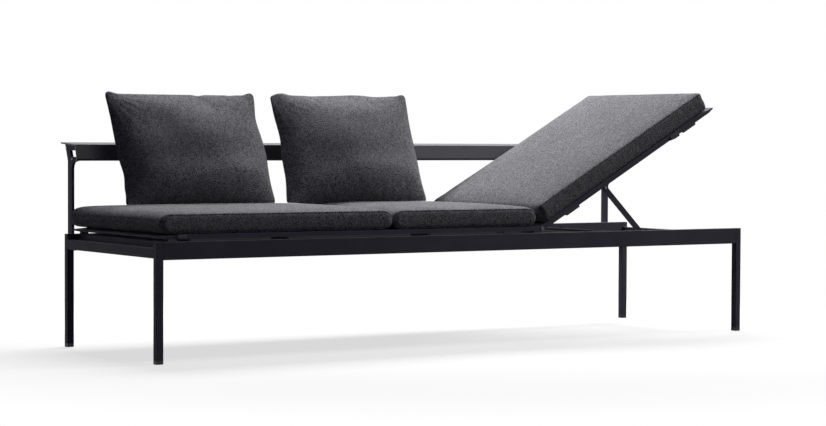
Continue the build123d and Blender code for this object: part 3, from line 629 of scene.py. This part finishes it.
def pillow_plan(u, v, side):
    """Where u, v from -1 to 1 lies on a pillow's own plane.

    It is drawn between the four corner places, and its sides pull in between them. The top edge sags
    between its two ears, and each tuck is a bell curve along its side.
    """
    shares = [(1 - u) * (1 - v), (1 + u) * (1 - v), (1 + u) * (1 + v), (1 - u) * (1 + v)]
    plan = np.stack(shares, axis=1) / 4 @ np.array(pillow_corners[side])
    plan[:, 0] -= np.sign(u) * np.abs(u) ** 3 * side_pull * (1 - v**4)
    ear = np.clip((np.abs(u) - ear_start) / ear_run, 0, 1)
    plan[:, 1] -= np.where(v > 0, v**5, 0) * top_sag * (1 - ear**2 * (3 - 2 * ear))
    for edge, place, width, depth in pillow_tucks[side]:
        towards, along = {"left": (-u, v), "right": (u, v), "top": (v, u)}[edge]
        bell = depth * np.clip(towards, 0, 1) ** 5 * np.exp(-(((along - place) / width) ** 2))
        plan[:, 0] += bell * {"left": 1, "right": -1, "top": 0}[edge]
        plan[:, 1] -= bell * (edge == "top")
    return plan


def pillow_form(side, phase):
    """A scatter pillow lying on its back: points, faces, chart, the seam round it and its relief.

    Its plan is a square of u and v from -1 to 1, rounded at the corners. Its two skins are puffed by
    ((1 - u*u)(1 - v*v)) to the power 0.8, fuller below the middle, with slow hollows from three crossing
    waves.
    """
    xs, ys = [np.linspace(-half, half, count) for half, count in zip(pillow_half, pillow_counts)]
    points, faces, chart = block_skin(xs, ys, np.array([-1.0, 0.0, 1.0]))
    layer = points[:, 2]
    u, v = (round_plan(points[:, :2], pillow_half, pillow_round) / pillow_half).T
    plan = pillow_plan(u, v, side)
    low = v + low_filling * (1 - v**2)
    puff = np.clip((1 - u**2) * (1 - low**2), 0, 1) ** puff_power
    waves = sum(np.sin(turn * u + climb * v + times * phase) for turn, climb, times in pillow_waves)
    puff = puff * (1 + wave_share * waves)
    form = np.column_stack([plan, layer * (seam_height + puff_height * puff)])
    return form, faces, chart, np.isclose(layer, 0), pillow_relief(u, v, side)


# How the pillows lean, where their lower edge stands, how thick they get before and behind their seam,
# and how far the seam's piping stands out

lean = math.radians(20)
pillow_rise = np.array([0, math.sin(lean), math.cos(lean)])
pillow_out = np.array([0, -math.cos(lean), math.sin(lean)])
pillow_stand = (0.106, 0.3945)
pillow_before = 0.066
pillow_behind = 0.064
piping = 0.0015

# What they lie on. Below low_part a pillow may meet a pad, whose points within pad_reach hold it pad_gap
# up. The shelf's front edge reaches edge_half up and down from edge_middle. Its face stands at edge_face
# up to edge_foot and slants back over edge_rise, and a pillow keeps edge_gap off it. Past the edge, up
# or down, the pillow may go back by edge_opening times as far

low_part = 0.415
pad_reach = 0.009
pad_gap = 0.0005
edge_middle = 0.547
edge_half = 0.026
edge_face = 0.233
edge_foot = 0.527
edge_rise = 0.040
edge_slant = 0.3
edge_gap = 0.0015
edge_opening = 1.4


def rest(points):
    """Keeps a pillow off what it lies on: above the pads and in front of the shelf's edge.

    A low point stays 0.5 mm above the highest point of the pads within 9 mm of it, seen from above.
    """
    low = np.flatnonzero(points[:, 2] < low_part)
    near = np.hypot(*[points[low, axis][:, None] - pad_tops[:, axis] for axis in (0, 1)]) < pad_reach
    held_up = np.where(near, pad_tops[:, 2], 0).max(axis=1) + pad_gap
    points[low, 2] = np.maximum(points[low, 2], held_up)
    off_edge = np.clip(np.abs(points[:, 2] - edge_middle) - edge_half, 0, None)
    face = edge_face + (points[:, 2] - edge_foot).clip(0, edge_rise) * edge_slant - edge_gap
    points[:, 1] = np.minimum(points[:, 1], face + edge_opening * off_edge)
    return points


def pillow(name, side, middle, phase):
    """A pillow leaning on the shelf, its lower edge on the pads, about 65 mm thick each side of its seam."""
    start, faces, chart, seam, relief = pillow_form(side, phase)
    blown = swell("pillow_blank", start, faces, cap=0.026, pressure=4.0, held=seam, growth=0.006)
    before = blown[:, 2] > 0
    depth = np.where(before, pillow_before / blown[:, 2].max(), -pillow_behind / blown[:, 2].min())
    blown[:, 2] = blown[:, 2] * depth + np.where(before, relief, 0.0)
    points = sew(blown, faces, np.where(seam, -piping, 0.0))
    foot = np.array([middle, *pillow_stand])
    rise = (points[:, 1:2] + pillow_half[1]) * pillow_rise
    placed = foot + points[:, :1] * along_bench + rise + points[:, 2:] * pillow_out
    soft_piece(name, rest(placed), faces, chart, "base", f"pillow_{side}")


pillow("left_pillow", "left", middle=-0.637, phase=0.4)
pillow("right_pillow", "right", middle=-0.110, phase=2.1)


# Slings: their width, thickness and sag, their lattice lines each way, each one's length and start, and
# the rails and bars that carry it

sling_width = 0.520
sling_thick = 0.0011
sling_sag = 0.0022
sling_counts = (61, 41)
seat_sling_length = 1.154
seat_sling_start = np.array([-0.917, -0.315, 0.3339])
back_sling_length = 0.655
back_sling_along = 0.017
back_sling_off = 0.0049
back_sling_start = pin + back_sling_along * up_back + back_sling_off * off_back - sling_width / 2 * to_rear


def stretched_sheet(name, origin, run, off, length, body, node_name):
    """A sling: a thin sheet that sags by a parabola along it times 1 less a fourth power across it."""
    s, t = [np.linspace(0, reach, count) for reach, count in zip((length, sling_width), sling_counts)]
    points, faces, _ = block_skin(s, t, np.array([0.0, sling_thick]))
    along = 2 * points[:, 0] / length - 1
    across = 2 * points[:, 1] / sling_width - 1
    dip = sling_sag * (1 - along**2) * (1 - across**4)
    placed = origin + points[:, :1] * run + points[:, 1:2] * to_rear + (points[:, 2] - dip)[:, None] * off
    piece = place_mesh(name, placed, faces, points[faces.ravel()][:, :2])
    piece.data.materials.append(finishes["sling_mesh"])
    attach(piece, body)
    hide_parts(node_name)


stretched_sheet(
    "seat_sling_cloth", seat_sling_start, along_bench, straight_up, seat_sling_length,
    body="base", node_name="seat_sling",
)
stretched_sheet(
    "back_sling_cloth", back_sling_start, up_back, off_back, back_sling_length,
    body="back", node_name="back_sling",
)


# Webbing straps: their thickness, bends and points on a bend, how far out from a rail's middle their
# inner face goes, how high its ends and how low its underside lie, their rails' place across, their
# lattice lines across, and each pair's start, width and sag

strap_thick = 0.0015
strap_bend = 0.002
bend_points = 6
strap_out = 0.0123
strap_top = 0.0063
strap_low = -0.0063
strap_tail = 0.0045
rail_place = 0.266
strap_count = 9
seat_strap_start = np.array([-0.9365, pin[1], pin[2]])
seat_strap_broad = 0.027
back_strap_along = 0.544
back_strap_start = pin + back_strap_along * up_back
back_strap_broad = 0.037
back_strap_sag = 0.0038


def turned_path(corners, radius):
    """A line through corners, each inner one rounded by a quadratic curve that leaves radius before it."""
    t = np.linspace(0, 1, bend_points)[:, None]
    runs = [corners[:1]]
    for before, at, after in zip(corners[:-2], corners[1:-1], corners[2:]):
        first = at + (before - at) / np.linalg.norm(before - at) * radius
        last = at + (after - at) / np.linalg.norm(after - at) * radius
        runs.append((1 - t) ** 2 * first + 2 * t * (1 - t) * at + t**2 * last)
    return np.concatenate(runs + [corners[-1:]])


def strap_bands(name, start, run, off, broad, sag, body, node_name):
    """Two webbing bands, each folded round a rail's outside, underside and inside.

    A band is a path round the rail, set out by its thickness and carried along the rail for its width.
    Its underside hangs sag lower, slanting to nothing over its first half.
    """
    outside = (strap_out, strap_top), (strap_out, strap_low)
    inside = (-strap_out, strap_low), (-strap_out, strap_tail)
    inner = turned_path(np.array(outside + inside), strap_bend)
    tangent = np.gradient(inner, axis=0)
    tangent = tangent / np.linalg.norm(tangent, axis=1)[:, None]
    away = np.column_stack([-tangent[:, 1], tangent[:, 0]])
    length = np.concatenate([[0], np.cumsum(np.linalg.norm(np.diff(inner, axis=0), axis=1))])
    lines = np.arange(len(inner), dtype=float), np.linspace(0, broad, strap_count), np.array([0.0, 1.0])
    points, outward, _ = block_skin(*lines)
    row = points[:, 0].astype(int)
    section = inner[row] + away[row] * (strap_thick * points[:, 2:])
    hang = np.clip((strap_top - section[:, 1]) / (strap_top - strap_low), 0, 1)
    section[:, 1] -= sag * (hang * np.clip(points[:, 1] / broad * 2, 0, 1))
    bands = []
    for number, side in enumerate((-1, 1)):
        placed = start + points[:, 1:2] * run + side * section[:, :1] * to_rear + section[:, 1:] * off
        faces = outward[:, ::-1] if side > 0 else outward
        chart = np.column_stack([length[row], points[:, 1]])[faces.ravel()]
        bands.append((placed + side * rail_place * to_rear, faces + number * len(points), chart))
    piece = place_mesh(name, *[np.concatenate(part) for part in zip(*bands)])
    piece.data.materials.append(finishes["webbing"])
    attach(piece, body)
    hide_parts(node_name)


strap_bands(
    "seat_straps", seat_strap_start, along_bench, straight_up, seat_strap_broad, sag=0.0,
    body="base", node_name="seat_pad_straps",
)
strap_bands(
    "back_straps", back_strap_start, up_back, off_back, back_strap_broad, sag=back_strap_sag,
    body="back", node_name="back_pad_straps",
)


# Floor, light and camera: the floor's half width, how far out its tone stays and from where it is white,
# and the linear colours of its paint and glow, of what it throws back on the object, and of the room

floor_half = 14.0
tone_until = 1.15
white_from = 1.9
floor_paint = (0.40, 0.40, 0.395, 1)
floor_glow = (0.69, 0.69, 0.695, 1)
floor_dull = (0.035, 0.035, 0.035, 1)
room_fill = (0.42, 0.42, 1, 1)
room_strength = 0.029
white = (1, 1, 1, 1)


def seen_ray(tree):
    """1 for a ray that is seen, directly, reflected or through a clear piece, and 0 for one that lights."""
    path = node(tree, "ShaderNodeLightPath")
    seen = math_node(tree, "MAXIMUM", path.outputs["Is Camera Ray"], path.outputs["Is Glossy Ray"])
    return math_node(tree, "MAXIMUM", seen, path.outputs["Is Transmission Ray"])


def stage_floor():
    """A plain pale floor: its own tone and shadow near the object, plain white further out."""
    corners = [[-1, -1, 0], [1, -1, 0], [1, 1, 0], [-1, 1, 0]]
    floor = place_mesh("pale_floor", floor_half * np.array(corners), np.array([[0, 1, 2, 3]]))
    made = bpy.data.materials.new("pale_floor_paint")
    tree = empty_tree(made)
    distance = node(tree, "ShaderNodeVectorMath", {0: object_place(tree)}, operation="LENGTH")
    out = spread(tree, distance.outputs["Value"], tone_until, white_from)
    paint = node(tree, "ShaderNodeBsdfDiffuse", {"Color": floor_paint}).outputs[0]
    glow = node(tree, "ShaderNodeEmission", {"Color": floor_glow, "Strength": 1.0}).outputs[0]
    near = node(tree, "ShaderNodeAddShader", {0: paint, 1: glow}).outputs[0]
    plain = node(tree, "ShaderNodeEmission", {"Color": white, "Strength": 1.0}).outputs[0]
    shown = node(tree, "ShaderNodeMixShader", {0: out, 1: near, 2: plain}).outputs[0]
    dull = node(tree, "ShaderNodeBsdfDiffuse", {"Color": floor_dull}).outputs[0]
    mixed = node(tree, "ShaderNodeMixShader", {0: seen_ray(tree), 1: dull, 2: shown}).outputs[0]
    node(tree, "ShaderNodeOutputMaterial", {"Surface": mixed})
    floor.data.materials.append(made)


def soft_box(name, size, energy, place, aim):
    """A rectangular lamp at a place, turned to shine at a point."""
    lamp = bpy.data.lights.new(name, "AREA")
    lamp.shape = "RECTANGLE"
    lamp.size, lamp.size_y = size
    lamp.energy = energy
    box = bpy.data.objects.new(name, lamp)
    turn = (Vector(aim) - Vector(place)).to_track_quat("-Z", "Y").to_matrix().to_4x4()
    box.matrix_world = Matrix.Translation(place) @ turn
    bpy.context.collection.objects.link(box)


def studio_light():
    """A wide soft box overhead, a far one high at the front right, and a bluish fill, seen as white."""
    soft_box("overhead_soft_box", size=(3.4, 1.3), energy=124, place=(1.0, 1.2, 2.5), aim=(1.0, 1.2, 0.0))
    soft_box("front_soft_box", size=(1.6, 1.2), energy=125, place=(4.0, -1.43, 4.0), aim=(0.0, 0.0, 0.4))
    world = bpy.data.worlds.new("white_room")
    bpy.context.scene.world = world
    tree = empty_tree(world)
    dim = node(tree, "ShaderNodeBackground", {"Color": room_fill, "Strength": room_strength}).outputs[0]
    plain = node(tree, "ShaderNodeBackground", {"Color": white, "Strength": 1.0}).outputs[0]
    mixed = node(tree, "ShaderNodeMixShader", {0: seen_ray(tree), 1: dim, 2: plain}).outputs[0]
    node(tree, "ShaderNodeOutputWorld", {"Surface": mixed})


# The camera's turn in radians, its place, and its focal length and picture width in pixels

yaw, pitch, roll = 0.5800716, 0.0336804, 0.0047216
camera_place = (-3.486755, -5.342768, 0.582697)
focal_pixels = 2153.528
picture_pixels = 826
sensor_mm = 36.0


def photo_camera():
    """The camera, low and in front of the bench's left end, as the photograph was taken."""
    right = Vector((math.cos(yaw), -math.sin(yaw), 0))
    forward = Vector((math.sin(yaw), math.cos(yaw), 0))
    up = Vector((0, 0, 1))
    ahead = forward * math.cos(pitch) - up * math.sin(pitch)
    above = up * math.cos(pitch) + forward * math.sin(pitch)
    side = right * math.cos(roll) + above * math.sin(roll)
    top = above * math.cos(roll) - right * math.sin(roll)
    camera = bpy.data.cameras.new("photo_camera")
    camera.sensor_fit = "HORIZONTAL"
    camera.sensor_width = sensor_mm
    camera.lens = focal_pixels / picture_pixels * sensor_mm
    camera.clip_end = 100.0
    holder = bpy.data.objects.new("photo_camera", camera)
    turn = Matrix((side, top, -ahead)).transposed().to_4x4()
    holder.matrix_world = Matrix.Translation(camera_place) @ turn
    bpy.context.collection.objects.link(holder)
    bpy.context.scene.camera = holder


stage_floor()
studio_light()
photo_camera()
bpy.context.scene.view_settings.view_transform = "Standard"
bpy.context.view_layer.update()
